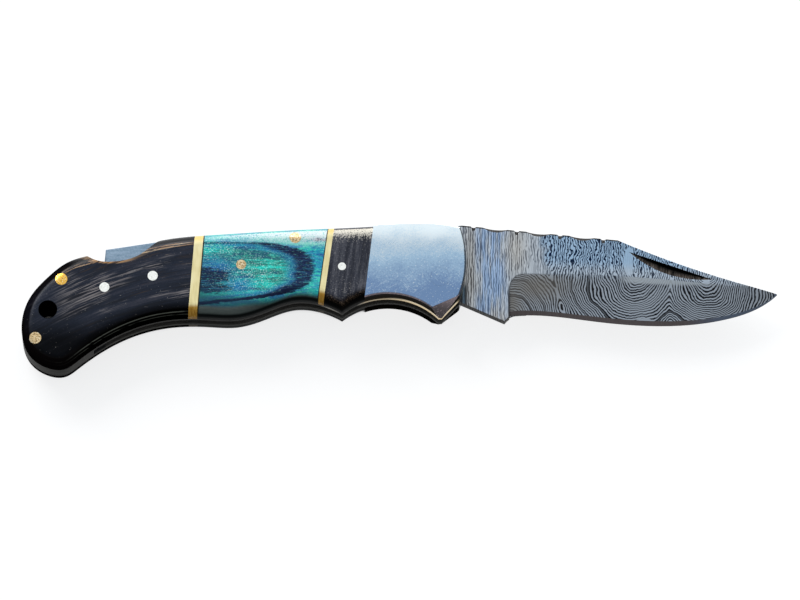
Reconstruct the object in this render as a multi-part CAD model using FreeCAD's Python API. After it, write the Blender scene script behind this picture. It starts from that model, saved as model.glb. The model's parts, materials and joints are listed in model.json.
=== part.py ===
import FreeCAD, Part
import math
import os

# A lock-back folding knife, open, lying on its left side. Millimetres, +Z up.
# The origin is on the blade's pivot axis, at the left side's outer face. +X runs
# to the blade's tip and +Y to the spine. All places below are measured from the pivot.

# Layers across the knife, the same on both sides
cover_thickness = 4.4
liner_thickness = 1.0
blade_thickness = 3.0
side_clearance = 0.1

# Fits
pin_fit = 0.02
running_fit = 0.04
touch_gap = 0.02
cut_overrun = 2.0

# Blade
blade_reach = 84.3
edge_drop = 10.75
heel_reach = 16.1
heel_drop = 9.94
choil_length = 2.65
choil_rise = 1.75
shoulder_back = 0.3
tang_radius = 5.8
tang_root_angle = -49.4
plunge_reach = 17.3
plunge_rounding = 4.0
edge_thickness = 0.6
cutting_edge_thickness = 0.1
edge_band_share = 0.1
bevel_overrun_share = 0.15

# Notches and hollows filed into the blade's spine from each face, and how far across it they run out
file_start = 8.4
file_pitch = 10.83
file_count = 4
notch_width = 1.4
notch_floor = 0.6
notch_depth = 1.1
notch_run = 1.0
hollow_length = 6.2
hollow_depth = 1.0
hollow_run = 1.2

# Nail nick, a hollow under the clip with its straight wall towards the spine
nick_length = 22.0
nick_width = 2.35
nick_depth = 0.8

# Handle
tip_room = 2.2
butt_block_length = 17.9
nose_reach = 6.5
spine_rise = 14.27
belly_drop = 9.9
butt_drop = 22.9
guard_drop = 9.55
guard_width = 0.8
guard_bevel = 2.4
guard_grind_angle = 24
scale_rounding = 3.0
bolster_rounding = 0.45

# Pieces of each side's cover, along the handle at the height of the pivot.
# The bolster and the scales are shares of channel_reach.
bolster_share = 0.2104
front_scale_share = 0.1156
centre_scale_share = 0.3503
front_spacer_width = 1.4
rear_spacer_width = 2.2
bolster_lean_angle = 6.7
front_spacer_lean_angle = 7.8
rear_spacer_lean_angle = 4.4

# Pins and the lanyard hole
pivot_radius = 2.4
lock_pin_radius = 1.45
centre_pin_radius = 1.25
front_pin_radius = 1.0
spring_pin_radius = 1.25
butt_pin_radius = 1.5
lanyard_radius = 2.25

# Lock bar and back spring
tooth_length = 3.65
tooth_front_gap = 0.35
tooth_clearance = 0.2
lock_bar_depth = 6.95
lock_bar_wall = 1.85
lock_bar_tail_depth = 5.4
lock_bar_tail_gap = 2.4
lock_bar_tail_lean = 0.5
lock_bar_tail_proud = 0.6
spring_eye_radius = 2.1
spring_leaf_thickness = 1.2
spring_gap = 0.1

# Lengths and levels that follow from the sizes above
channel_reach = blade_reach + tip_room
channel_width = blade_thickness + 2 * side_clearance
channel_floor = cover_thickness + liner_thickness
handle_thickness = 2 * channel_floor + channel_width
middle_level = handle_thickness / 2
blade_floor = channel_floor + side_clearance
tooth_radius = tang_radius + tooth_clearance
outline_span = spine_rise + butt_drop

# Handle outline. Each row is a share along the handle and a share of a height or drop.
# Top line: shares of channel_reach and spine_rise, from the bolster to the thumb notch
top_line_shares = ((0.0, 0.985), (0.14, 0.99), (0.23, 0.955), (0.416, 0.905), (0.647, 0.818), (0.805, 0.715))
# Where the top line would go on over the thumb notch, and the notch's curve, from above the top line
# and back out of it: shares of channel_reach and spine_rise
over_notch_shares = (0.9, 0.575)
notch_shares = ((0.788, 0.79), (0.833, 0.572), (0.861, 0.428), (0.896, 0.326), (0.94, 0.278), (0.975, 0.28),
                (1.003, 0.335), (1.022, 0.43), (1.033, 0.52))
# Butt: shares of butt_block_length behind the channel and of butt_drop
butt_shares = ((0.12, 0.264), (0.363, 0.197), (0.642, 0.026), (0.883, -0.197), (1.0, -0.524),
               (0.883, -0.847), (0.642, -0.98), (0.397, -0.995), (0.223, -0.908))
# Belly: shares of channel_reach and belly_drop, from the butt to the point between the finger grooves
belly_shares = ((0.983, -1.69), (0.902, -1.303), (0.798, -1.035), (0.67, -0.99), (0.584, -1.0),
                (0.497, -0.77), (0.416, -0.545), (0.347, -0.606), (0.283, -0.848))
# Finger groove at the bolster, its highest point: shares of channel_reach and belly_drop
groove_shares = (0.144, -0.44)
# Nose of the bolster: shares of nose_reach and of spine_rise above the pivot or guard_drop below it
nose_top_shares = (0.785, 0.911)
nose_middle_share = 0.3
nose_low_shares = (0.74, -0.495)

# Pins: shares of channel_reach and spine_rise, and at the butt of butt_block_length and butt_drop
lock_pin_shares = (0.418, 0.717)
centre_pin_shares = (0.574, 0.224)
front_pin_shares = (0.283, 0.19)
front_spring_pin_shares = (0.829, 0.018)
rear_spring_pin_shares = (0.968, -0.189)
upper_butt_pin_shares = (0.447, -0.026)
lower_butt_pin_shares = (0.802, -0.693)
lanyard_shares = (0.631, -0.371)

# Lock bar: the top of its tail, and a place on its underside, shares of channel_reach and spine_rise
tail_top_share = 0.605
underside_shares = (0.829, 0.385)
spring_tip_share = 0.61

# Blade outline: shares of blade_reach, and of spine_rise above the pivot or edge_drop below it
spine_crown_shares = (0.065, 1.05)
clip_start_shares = (0.528, 0.778)
clip_middle_shares = (0.753, 0.252)
tip_share = -0.251
edge_shares = ((0.32, -0.763), (0.463, -0.902), (0.605, -1.0),
               (0.724, -0.99), (0.842, -0.856), (0.937, -0.605))
# A place on the choil's curve, shares of choil_length and choil_rise
choil_middle_shares = (0.45, 0.68)
# Where the grind starts above each edge point and at both ends, shares of spine_rise
plunge_grind_share = 0.182
grind_shares = (0.172, 0.147, 0.095, 0.03, -0.042, -0.063)
# Ends of the grind past the tip: shares of blade_reach and spine_rise
tip_edge_shares = (1.007, -0.157)
tip_grind_shares = (1.003, -0.06)
# The nick's middle, shares of blade_reach and spine_rise
nick_shares = (0.684, 0.315)


def at(x, y, level=0.0):
    return FreeCAD.Vector(x, y, level)


def handle_place(shares):
    return at(-shares[0] * channel_reach, shares[1] * spine_rise)


def butt_place(shares):
    return at(-channel_reach - shares[0] * butt_block_length, shares[1] * butt_drop)


def belly_place(shares):
    return at(-shares[0] * channel_reach, shares[1] * belly_drop)


def blade_spine_place(shares):
    return at(shares[0] * blade_reach, shares[1] * spine_rise)


def blade_edge_place(shares):
    return at(shares[0] * blade_reach, shares[1] * edge_drop)


def turned(point, angle):
    along = math.cos(math.radians(angle))
    across = math.sin(math.radians(angle))
    return at(point.x * along - point.y * across, point.x * across + point.y * along)


UP = FreeCAD.Vector(0, 0, 1)
QUARTER_TURN = 90


def line(start, end):
    return Part.LineSegment(start, end).toShape()


def arc(start, middle, end):
    return Part.Arc(start, middle, end).toShape()


def curve(points):
    spline = Part.BSplineCurve()
    spline.interpolate(points)
    return spline.toShape()


def polygon_edges(points):
    return [line(a, b) for a, b in zip(points, points[1:])]


def slab(edges, floor, thickness):
    face = Part.Face(Part.Wire(Part.__sortEdges__(edges)))
    face.translate(at(0, 0, floor))
    return face.extrude(UP * thickness)


def rod(place, radius, floor, height):
    return Part.makeCylinder(radius, height, at(place.x, place.y, floor), UP)


def bored(shape, places, radius):
    for place in places:
        shape = shape.cut(rod(place, radius, -cut_overrun, handle_thickness + 2 * cut_overrun))
    return shape


def mirrored(shape):
    return shape.mirror(at(0, 0, middle_level), UP)


# Places of the pins, the lanyard hole and the corners of the handle
pivot = at(0, 0)
lock_pin = handle_place(lock_pin_shares)
centre_pin = handle_place(centre_pin_shares)
front_pin = handle_place(front_pin_shares)
spring_pins = {"front_spring_pin": handle_place(front_spring_pin_shares),
               "rear_spring_pin": handle_place(rear_spring_pin_shares)}
butt_pins = {"upper_butt_pin": butt_place(upper_butt_pin_shares),
             "lower_butt_pin": butt_place(lower_butt_pin_shares)}
lanyard = butt_place(lanyard_shares)
nose_top = at(nose_top_shares[0] * nose_reach, nose_top_shares[1] * spine_rise)
nose_middle = at(nose_reach, nose_middle_share * spine_rise)
nose_low = at(nose_low_shares[0] * nose_reach, nose_low_shares[1] * guard_drop)
guard_front = at(guard_width / 2, -guard_drop)
guard_back = at(-guard_width / 2, -guard_drop)
finger_point = belly_place(belly_shares[-1])
top_points = [nose_top] + [handle_place(shares) for shares in top_line_shares]
tail_end = -channel_reach + lock_bar_tail_gap
tail_top = at(tail_end + lock_bar_tail_lean, tail_top_share * spine_rise)
tail_low = at(tail_end, tail_top.y - lock_bar_tail_depth)
tail_underside = handle_place(underside_shares)
pin_underside = at(lock_pin.x, lock_pin.y - lock_pin_radius - lock_bar_wall)
spine_crown = blade_spine_place(spine_crown_shares)
clip_start = blade_spine_place(clip_start_shares)
tip = at(blade_reach, tip_share * edge_drop)
edge_points = [blade_edge_place(shares) for shares in edge_shares]


def on_tooth_circle(x):
    """A point on the circle round the pivot that the lock bar's tooth follows."""
    return at(x, math.sqrt(tooth_radius ** 2 - x ** 2))


def handle_edges():
    """The handle's outline, with both finger grooves and without the thumb notch."""
    around = top_points + [handle_place(over_notch_shares)]
    around += [butt_place(shares) for shares in butt_shares]
    around += [belly_place(shares) for shares in belly_shares]
    groove = arc(finger_point, belly_place(groove_shares), guard_back)
    nose = polygon_edges([guard_back, guard_front, nose_low]) + [arc(nose_low, nose_middle, nose_top)]
    return [curve(around), groove] + nose


def notch_cutter():
    """What the thumb notch takes out of the handle's back, through its whole thickness."""
    bottom = [handle_place(shares) for shares in notch_shares]
    rim = [bottom[-1], at(bottom[-1].x, spine_rise), at(bottom[0].x, spine_rise), bottom[0]]
    return slab([curve(bottom)] + polygon_edges(rim), -cut_overrun, handle_thickness + 2 * cut_overrun)


def handle_slab(floor, thickness):
    return slab(handle_edges(), floor, thickness).cut(notch_cutter())


def joint_line(reach, lean_angle):
    """The two ends of a leaning joint between two pieces of a cover."""
    lean = outline_span * math.tan(math.radians(lean_angle))
    return at(-reach + lean, outline_span), at(-reach - lean, -outline_span)


def band(front_joint, rear_joint):
    """A tall block between two leaning joints."""
    points = [front_joint[0], rear_joint[0], rear_joint[1], front_joint[1], front_joint[0]]
    return slab(polygon_edges(points), -cut_overrun, handle_thickness + 2 * cut_overrun)


bolster_back = bolster_share * channel_reach
front_scale_back = bolster_back + front_scale_share * channel_reach
front_spacer_back = front_scale_back + front_spacer_width
centre_scale_back = front_spacer_back + centre_scale_share * channel_reach
rear_spacer_back = centre_scale_back + rear_spacer_width
butt_reach = channel_reach + butt_block_length
joints = {
    "nose": joint_line(-nose_reach - cut_overrun, 0),
    "bolster": joint_line(bolster_back, bolster_lean_angle),
    "front_scale": joint_line(front_scale_back, front_spacer_lean_angle),
    "front_spacer": joint_line(front_spacer_back, front_spacer_lean_angle),
    "centre_scale": joint_line(centre_scale_back, rear_spacer_lean_angle),
    "rear_spacer": joint_line(rear_spacer_back, rear_spacer_lean_angle),
    "butt": joint_line(butt_reach + cut_overrun, 0),
}


def outer_edges(shape, joint):
    """The edges of both outer faces that lie on the handle's outline, not on the joint."""
    along = line(*joint)
    chosen = []
    for edge in shape.Edges:
        middle = edge.valueAt((edge.FirstParameter + edge.LastParameter) / 2)
        flat = edge.BoundBox.ZLength < touch_gap
        off_joint = along.distToShape(Part.Vertex(at(middle.x, middle.y)))[0] > touch_gap
        if flat and off_joint:
            chosen.append(edge)
    return chosen


def rounded_block(front, rear, rounding, joint):
    """The handle between two joints, at its full thickness, with its outer edges rounded."""
    block = slab(handle_edges(), 0, handle_thickness).common(band(joints[front], joints[rear]))
    return block.makeFillet(rounding, outer_edges(block, joints[joint]))


def right_cover(block):
    """The part of a block that lies outside the right liner."""
    corner = at(-butt_reach - cut_overrun, -outline_span, handle_thickness - cover_thickness)
    length = butt_reach + nose_reach + 2 * cut_overrun
    return block.common(Part.makeBox(length, 2 * outline_span, cover_thickness + cut_overrun, corner))


def guard_cutter():
    """What a slanting grind takes off the right bolster's outer corner, from the guard up to the nose."""
    inner = handle_thickness - cover_thickness
    points = [at(0, guard_bevel - guard_drop, handle_thickness), at(0, -guard_drop, inner),
              at(0, -outline_span, inner), at(0, -outline_span, handle_thickness)]
    face = Part.Face(Part.makePolygon(points + points[:1]))
    face.translate(at(-bolster_back, 0))
    cutter = face.extrude(at(2 * bolster_back, 0))
    cutter.rotate(at(0, -guard_drop), UP, guard_grind_angle)
    return cutter


def make_liner():
    liner = handle_slab(cover_thickness, liner_thickness)
    liner = bored(liner, [pivot], pivot_radius + pin_fit)
    liner = bored(liner, [lock_pin], lock_pin_radius + pin_fit)
    liner = bored(liner, [centre_pin], centre_pin_radius + pin_fit)
    liner = bored(liner, [front_pin], front_pin_radius + pin_fit)
    liner = bored(liner, spring_pins.values(), spring_pin_radius + pin_fit)
    liner = bored(liner, butt_pins.values(), butt_pin_radius + pin_fit)
    return bored(liner, [lanyard], lanyard_radius)


def make_scale(cover, front, rear):
    scale = cover.common(band(joints[front], joints[rear]))
    scale = bored(scale, [lock_pin], lock_pin_radius + pin_fit)
    scale = bored(scale, [centre_pin], centre_pin_radius + pin_fit)
    scale = bored(scale, [front_pin], front_pin_radius + pin_fit)
    scale = bored(scale, spring_pins.values(), spring_pin_radius + pin_fit)
    scale = bored(scale, butt_pins.values(), butt_pin_radius + pin_fit)
    return bored(scale, [lanyard], lanyard_radius)


def make_butt_spacer():
    corner = at(-butt_reach - cut_overrun, -outline_span, channel_floor)
    block = Part.makeBox(butt_block_length + cut_overrun, 2 * outline_span, channel_width, corner)
    spacer = handle_slab(channel_floor, channel_width).common(block)
    spacer = bored(spacer, butt_pins.values(), butt_pin_radius + pin_fit)
    return bored(spacer, [lanyard], lanyard_radius)


def make_lock_bar():
    """A rocking bar, flush with the handle's back, with a tooth in front and a free, slightly proud tail."""
    front = -shoulder_back - tooth_front_gap
    back = front - tooth_length
    middle = (front + back) / 2
    tooth_low = arc(on_tooth_circle(back), on_tooth_circle(middle), on_tooth_circle(front))
    high = spine_rise + cut_overrun
    ring = [on_tooth_circle(front), at(front, high), at(tail_top.x, high), tail_top, tail_low,
            tail_underside, pin_underside, at(back, spine_rise - lock_bar_depth), on_tooth_circle(back)]
    bar = slab(polygon_edges(ring) + [tooth_low], blade_floor, blade_thickness)
    tail_start = top_points[-1] + at(0, lock_bar_tail_proud)
    tail_ring = [tail_start, tail_top, tail_low, at(tail_end, 0), at(tail_start.x, 0), tail_start]
    room = slab(handle_edges(), blade_floor, blade_thickness)
    room = room.fuse(slab(polygon_edges(tail_ring), blade_floor, blade_thickness))
    bar = bar.common(room).removeSplitter()
    return bored(bar, [lock_pin], lock_pin_radius + running_fit)


def make_back_spring():
    """Two eyes round the spring pins, and a leaf that rises to the lock bar's underside."""
    rear = spring_pins["rear_spring_pin"]
    front = spring_pins["front_spring_pin"]
    across = turned(front - rear, QUARTER_TURN).normalize() * spring_eye_radius
    web = polygon_edges([rear + across, front + across, front - across, rear - across, rear + across])
    leaf_tip = at(-spring_tip_share * channel_reach, 0)
    run = (leaf_tip.x - pin_underside.x) / (tail_underside.x - pin_underside.x)
    leaf_tip.y = pin_underside.y + run * (tail_underside.y - pin_underside.y) - spring_gap
    leaf_drop = at(0, -spring_leaf_thickness)
    leaf = polygon_edges([front - leaf_drop, leaf_tip, leaf_tip + leaf_drop, front, front - leaf_drop])
    spring = slab(web, blade_floor, blade_thickness).fuse(slab(leaf, blade_floor, blade_thickness))
    for eye in (rear, front):
        spring = spring.fuse(rod(eye, spring_eye_radius, blade_floor, blade_thickness))
    return bored(spring.removeSplitter(), (rear, front), spring_pin_radius + pin_fit)


def spine_height(x):
    """Height of the blade's straight spine between its crown and the clip."""
    slope = (clip_start.y - spine_crown.y) / (clip_start.x - spine_crown.x)
    return spine_crown.y + slope * (x - spine_crown.x)


def blade_edges():
    """The open blade's outline: shoulder, spine, clip, tip, edge, choil, heel and tang."""
    shoulder_low = at(-shoulder_back, math.sqrt(tang_radius ** 2 - shoulder_back ** 2))
    shoulder_top = at(-shoulder_back, spine_rise)
    heel = at(heel_reach, -heel_drop)
    choil = heel + at(choil_middle_shares[0] * choil_length, choil_middle_shares[1] * choil_rise)
    choil_end = heel + at(choil_length, choil_rise)
    tang_root = turned(at(tang_radius, 0), tang_root_angle)
    edges = polygon_edges([shoulder_low, shoulder_top, spine_crown, clip_start])
    edges.append(arc(clip_start, blade_spine_place(clip_middle_shares), tip))
    edges.append(curve([choil_end] + edge_points + [tip]))
    edges.append(arc(heel, choil, choil_end))
    edges.append(line(tang_root, heel))
    edges.append(arc(tang_root, at(-tang_radius, 0), shoulder_low))
    return edges


def bevel_section(edge, grind, edge_half, grind_half):
    """A triangle over one bevel line, which rises from the edge to the grind line."""
    rise = (grind - edge) * bevel_overrun_share
    thicken = (grind_half - edge_half) * bevel_overrun_share
    low = edge - rise + at(0, 0, middle_level + edge_half - thicken)
    top = grind + rise + at(0, 0, middle_level + grind_half + thicken)
    return Part.makePolygon([low, top, at(low.x, low.y, top.z), low])


def plunge_corner():
    """What the grind leaves standing at its rounded corner under the plunge's top."""
    top = at(plunge_reach, plunge_grind_share * spine_rise)
    start = top - at(0, plunge_rounding)
    end = top + at(plunge_rounding, 0)
    inset = plunge_rounding * (1 - math.cos(math.radians(QUARTER_TURN / 2)))
    back = at(-cut_overrun, 0)
    lift = at(0, cut_overrun)
    rim = [end, end + lift, top + back + lift, start + back, start]
    edges = [arc(start, top + at(inset, -inset), end)] + polygon_edges(rim)
    return slab(edges, blade_floor - cut_overrun, blade_thickness + 2 * cut_overrun)


def bevel_cutter(reach_share, edge_half, grind_half):
    """What is ground off the right face, over a share of the way from the edge to the grind line."""
    edges = [at(plunge_reach, edge_points[0].y)] + edge_points + [blade_spine_place(tip_edge_shares)]
    grinds = [at(plunge_reach, plunge_grind_share * spine_rise)]
    grinds += [at(edge.x, share * spine_rise) for edge, share in zip(edge_points, grind_shares)]
    grinds.append(blade_spine_place(tip_grind_shares))
    sections = [bevel_section(edge, edge + (grind - edge) * reach_share, edge_half, grind_half)
                for edge, grind in zip(edges, grinds)]
    return Part.makeLoft(sections, True).cut(plunge_corner())


def filed_cutter(edges, depth, run):
    """What a file takes off the right face: an outline that rises as it runs across the spine."""
    face = Part.Face(Part.Wire(Part.__sortEdges__(edges)))
    face.translate(at(0, 0, blade_floor + blade_thickness))
    return face.extrude(at(0, depth, -run))


def notch_edges(x):
    """A wedge with a narrow floor, as wide as its mouth from the spine up."""
    rim = at(x, spine_height(x))
    low = rim - at(0, notch_depth)
    high = rim + at(0, cut_overrun)
    floor = at(notch_floor / 2, 0)
    mouth = at(notch_width / 2, 0)
    left = [high - mouth, rim - mouth, low - floor]
    right = [low + floor, rim + mouth, high + mouth]
    return polygon_edges(left + right + left[:1])


def hollow_edges(x):
    """A shallow arc between two places on the spine, and the room above it."""
    start = at(x - hollow_length / 2, spine_height(x - hollow_length / 2))
    end = at(x + hollow_length / 2, spine_height(x + hollow_length / 2))
    lift = at(0, cut_overrun)
    low = at(x, spine_height(x) - hollow_depth)
    return [arc(start, low, end)] + polygon_edges([end, end + lift, start + lift, start])


def filed_spine(blade):
    """Files the notches, and the hollows between them, into both faces along the spine."""
    notches = [file_start + index * file_pitch for index in range(file_count)]
    hollows = [x + file_pitch / 2 for x in notches[:-1]]
    cutters = [filed_cutter(notch_edges(x), notch_depth, notch_run) for x in notches]
    cutters += [filed_cutter(hollow_edges(x), hollow_depth, hollow_run) for x in hollows]
    for cutter in cutters:
        blade = blade.cut(cutter).cut(mirrored(cutter))
    return blade


def nail_nick():
    """A flat cone, tangent to the face at the nick's curved side."""
    radius = (nick_length ** 2 / 4 + nick_depth ** 2) / (2 * nick_depth)
    along = (tip - clip_start).normalize()
    level = blade_floor + blade_thickness + radius - nick_depth
    centre = blade_spine_place(nick_shares) + at(0, 0, level)
    down = turned(along, -QUARTER_TURN)
    return Part.makeCone(radius, radius - 2 * nick_depth, 2 * nick_width, centre, down)


def make_blade():
    blade = slab(blade_edges(), blade_floor, blade_thickness)
    half = blade_thickness / 2
    edge_half = edge_thickness / 2
    band_half = edge_half + (half - edge_half) * edge_band_share
    for cutter in (bevel_cutter(1, edge_half, half),
                   bevel_cutter(edge_band_share, cutting_edge_thickness / 2, band_half)):
        blade = blade.cut(cutter).cut(mirrored(cutter))
    blade = filed_spine(blade).cut(nail_nick())
    return bored(blade, [pivot], pivot_radius + running_fit)


def export(name, shape):
    shape.exportStep(os.path.join("parts", name + ".step"))


def export_pair(name, right_shape):
    """Writes a piece of the right side, and its mirror image on the left side."""
    export("right_" + name, right_shape)
    export("left_" + name, mirrored(right_shape))


def export_covers(scale_block):
    bolster = right_cover(rounded_block("nose", "bolster", bolster_rounding, "bolster"))
    export_pair("bolster", bored(bolster, [pivot], pivot_radius + pin_fit).cut(guard_cutter()))
    cover = right_cover(scale_block)
    rows = list(joints)[1:]
    for front, rear in zip(rows, rows[1:]):
        name = "rear_scale" if rear == "butt" else rear
        export_pair(name, make_scale(cover, front, rear))


def export_pins(scale_block):
    """Pins, ground flush with the covers."""
    export("blade_pivot_pin", rod(pivot, pivot_radius, 0, handle_thickness))
    through = {"lock_bar_pin": (lock_pin, lock_pin_radius), "centre_pin": (centre_pin, centre_pin_radius)}
    through.update({name: (place, spring_pin_radius) for name, place in spring_pins.items()})
    through.update({name: (place, butt_pin_radius) for name, place in butt_pins.items()})
    for name, (place, radius) in through.items():
        export(name, rod(place, radius, 0, handle_thickness).common(scale_block))
    short = rod(front_pin, front_pin_radius, channel_floor + channel_width, channel_floor)
    export_pair("front_scale_pin", short.common(scale_block))


os.makedirs("parts", exist_ok=True)
rounded_scales = rounded_block("bolster", "butt", scale_rounding, "bolster").cut(notch_cutter())
export_covers(rounded_scales)
export_pins(rounded_scales)
export_pair("liner", mirrored(make_liner()))
export("butt_spacer", make_butt_spacer())
export("lock_bar", make_lock_bar())
export("back_spring", make_back_spring())
export("blade", make_blade())
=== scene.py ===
import json
import math

import bmesh
import bpy
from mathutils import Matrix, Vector


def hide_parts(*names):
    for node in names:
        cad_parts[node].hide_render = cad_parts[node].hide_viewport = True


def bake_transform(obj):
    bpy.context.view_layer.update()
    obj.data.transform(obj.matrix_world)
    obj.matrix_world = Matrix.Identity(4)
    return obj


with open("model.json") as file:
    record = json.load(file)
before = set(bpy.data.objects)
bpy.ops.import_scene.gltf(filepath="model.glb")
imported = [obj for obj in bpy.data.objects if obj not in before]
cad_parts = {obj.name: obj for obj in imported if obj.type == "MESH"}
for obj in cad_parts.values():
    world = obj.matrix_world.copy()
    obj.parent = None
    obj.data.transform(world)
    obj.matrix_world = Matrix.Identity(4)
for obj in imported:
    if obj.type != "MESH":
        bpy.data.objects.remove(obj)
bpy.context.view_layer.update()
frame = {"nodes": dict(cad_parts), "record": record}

# A lock-back folding knife on a white floor. Lengths are millimetres unless a comment says metres.
# Groups of values: a spot is (x, y, width, height) on the knife's side, a fade is (where it is 0, where it
# is 1), a stop is (position, colour), and a pair of tones is (dark colour, bright colour).
MM = 0.001

# Camera: square to the knife's side, tilted towards the belly
VIEW_ELEVATION = 73.5
VIEW_TARGET = (-10.0, -4.0, 7.0)
VIEW_WIDTH = 200.0
CAMERA_LENS = 500.0
SENSOR_WIDTH = 36.0

# Floor: half its width in metres, its glow to the camera, and how near a wall has to be to darken it
FLOOR_HALF = 3.0
FLOOR_GREY = (0.3, 0.3, 0.3)
FLOOR_ROUGHNESS = 0.9
FLOOR_GLOW = 0.78
OPEN_SKY_REACH = 6.0
OPEN_SKY_FADE = (0.15, 0.4)
WHITE = (1.0, 1.0, 1.0)

# Light: the sky from the belly's side over to the spine's, and the lamps, in metres, as
# (name, place, size, watts, colour)
SKY = ((0.0, (0.32, 0.31, 0.30)), (0.5, (0.40, 0.44, 0.48)), (0.64, (0.55, 0.63, 0.72)),
       (1.0, (0.9, 0.93, 0.96)))
LAMPS = (("key_lamp", (-0.6, 0.9, 0.7), 0.8, 11.0, (1.0, 0.99, 0.97)),
         ("back_lamp", (0.4, 1.2, 0.5), 0.8, 7.0, (0.98, 0.99, 1.0)))

# Handle as in the solids: the level of its middle, and its joints' reach behind the pivot and lean in degrees
MIDDLE_LEVEL = 7.0
FRONT_SPACER_BACK = 29.6
FRONT_SPACER_LEAN = 7.8
REAR_SPACER_REACH = 59.9
REAR_SPACER_LEAN = 4.4

# Thumb notch and lanyard hole as in the solids
NOTCH_REACH = 82.3
NOTCH_RISE = 3.95
NOTCH_CURVE = 0.028
LANYARD_REACH = 97.8
LANYARD_DROP = 8.5
LANYARD_RADIUS = 2.25

# Blade: the grind line's rise at the pivot and its fall along x, the rounded corner where the grind starts,
# the spine's fall, and where the point begins
GRIND_RISE = 3.4
GRIND_FALL = 0.045
PLUNGE_REACH = 17.3
PLUNGE_ROUNDING = 4.0
SPINE_FALL = 0.0995
POINT_START = 70.0

# Back spring: where its leaf starts to bend, where it lies on the lock bar, how finely it is cut between,
# the angle from which an edge is sharp, and the distance at which points are welded
LEAF_ROOT = -70.0
LEAF_TIP = -53.0
LEAF_CUTS = 18
LEAF_CORNER = 30.0
WELD = 0.001


class Graph:
    """Short calls for the nodes of a material or a world. Values may be numbers, tuples or sockets."""

    def __init__(self, owner):
        owner.use_nodes = True
        self.tree = owner.node_tree

    def node(self, kind, **settings):
        node = self.tree.nodes.new("ShaderNode" + kind)
        for name, value in settings.items():
            setattr(node, name, value)
        return node

    def put(self, socket, value):
        if isinstance(value, bpy.types.NodeSocket):
            self.tree.links.new(value, socket)
        elif isinstance(value, tuple) and len(value) == 3 and socket.type == "RGBA":
            socket.default_value = (*value, 1)
        else:
            socket.default_value = value

    def parts(self, vector):
        node = self.node("SeparateXYZ")
        self.put(node.inputs[0], vector)
        return tuple(node.outputs)

    def joined(self, x, y, z):
        node = self.node("CombineXYZ")
        for socket, value in zip(node.inputs, (x, y, z)):
            self.put(socket, value)
        return node.outputs[0]

    def vector(self, operation, a, b):
        node = self.node("VectorMath", operation=operation)
        self.put(node.inputs[0], a)
        self.put(node.inputs[1], b)
        return node.outputs["Vector"]

    def math(self, operation, *values):
        node = self.node("Math", operation=operation)
        for socket, value in zip(node.inputs, values):
            self.put(socket, value)
        return node.outputs[0]

    def chain(self, operation, values):
        """One operation through a row of values."""
        result = values[0]
        for value in values[1:]:
            result = self.math(operation, result, value)
        return result

    def add(self, *values):
        return self.chain("ADD", values)

    def times(self, *values):
        return self.chain("MULTIPLY", values)

    def most(self, *values):
        return self.chain("MAXIMUM", values)

    def less(self, a, b):
        return self.math("SUBTRACT", a, b)

    def rest(self, share):
        """What a share leaves of 1."""
        return self.less(1.0, share)

    def swing(self, noise):
        """How far a noise lies above or below its middle."""
        return self.less(noise, 0.5)

    def length(self, x, y):
        return self.math("SQRT", self.add(self.times(x, x), self.times(y, y)))

    def smooth(self, value, start, end):
        """Goes smoothly from 0 at start to 1 at end. Start may be above end."""
        node = self.node("MapRange", interpolation_type="SMOOTHSTEP")
        falling = start > end
        limits = (min(start, end), max(start, end), 1.0 if falling else 0.0, 0.0 if falling else 1.0)
        for socket, number in zip(node.inputs[1:5], limits):
            socket.default_value = number
        self.put(node.inputs["Value"], value)
        return node.outputs["Result"]

    def band(self, value, middle, half_width):
        """1 at middle, falling to 0 at half_width on both sides."""
        return self.smooth(self.math("ABSOLUTE", self.less(value, middle)), half_width, 0.0)

    def blend(self, share, a, b):
        """A number that goes from a to b as share goes from 0 to 1."""
        node = self.node("Mix")
        self.put(node.inputs[0], share)
        self.put(node.inputs[2], a)
        self.put(node.inputs[3], b)
        return node.outputs[0]

    def mix(self, share, a, b):
        """A colour that goes from a to b as share goes from 0 to 1."""
        node = self.node("Mix", data_type="RGBA")
        self.put(node.inputs[0], share)
        self.put(node.inputs[6], a)
        self.put(node.inputs[7], b)
        return node.outputs[2]

    def paint(self, colour, paint, *shares):
        """A colour with another over it, as strong as the product of the shares."""
        return self.mix(self.times(*shares), colour, paint)

    def ramp(self, value, *stops):
        node = self.node("ValToRGB")
        points = node.color_ramp.elements
        while len(points) < len(stops):
            points.new(1.0)
        for point, (position, colour) in zip(points, stops):
            point.position = position
            point.color = (*colour, 1)
        self.put(node.inputs[0], value)
        return node.outputs["Color"]

    def tones(self, value, pair, start=0.0, end=1.0):
        """A colour that goes through a pair of tones as value goes from start to end."""
        return self.ramp(value, (start, pair[0]), (end, pair[1]))


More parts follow.
